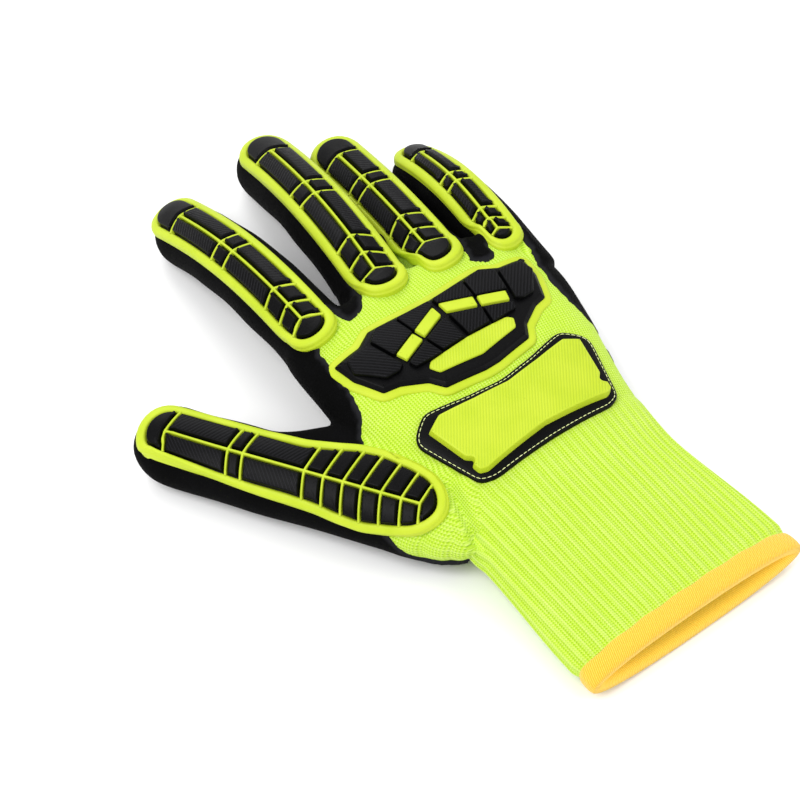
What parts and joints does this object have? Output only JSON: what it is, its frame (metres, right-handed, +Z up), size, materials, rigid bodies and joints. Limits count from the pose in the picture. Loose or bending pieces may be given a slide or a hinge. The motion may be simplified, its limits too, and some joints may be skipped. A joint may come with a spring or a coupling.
{
  "type": "impact glove",
  "caption": "Right-hand knitted work glove with a dipped palm, ribbed cuff and moulded impact guards on the back of the fingers, thumb and knuckles.",
  "frame": {"origin": "under the middle of the glove, on the surface that it rests on", "axes": "+Y from the cuff to the fingertips, +Z up from the palm to the back of the hand, +X towards the little finger"},
  "size_m": [0.1752, 0.268, 0.0434],
  "materials": {
    "knit": "fine hi-vis yellow-green knit with lighter flecks",
    "nitrile": "matte black coating with a fine sandy grip",
    "hem": "orange-yellow overlock thread",
    "green_rubber": "satin bright yellow-green moulded rubber",
    "black_rubber": "satin black moulded rubber with fine ribs"
  },
  "bodies": {
    "root": {"index_finger": "nitrile", "middle_finger": "nitrile", "ring_finger": "nitrile", "little_finger": "nitrile", "thumb_finger": "nitrile", "knit_hand": "knit", "nitrile_palm": "nitrile", "rib_cuff": "knit", "cuff_hem": "hem", "index_frame": "green_rubber", "index_blocks": "black_rubber", "middle_frame": "green_rubber", "middle_blocks": "black_rubber", "ring_frame": "green_rubber", "ring_blocks": "black_rubber", "little_frame": "green_rubber", "little_blocks": "black_rubber", "thumb_frame": "green_rubber", "thumb_blocks": "black_rubber", "knuckle_flange": "green_rubber", "knuckle_panel": "black_rubber", "knuckle_bar_a": "green_rubber", "knuckle_bar_d": "green_rubber", "knuckle_bar_b": "green_rubber", "knuckle_bar_c": "green_rubber", "knuckle_crescent": "green_rubber", "badge_patch": "black_rubber", "badge_plate": "green_rubber"}
  },
  "joints": []
}
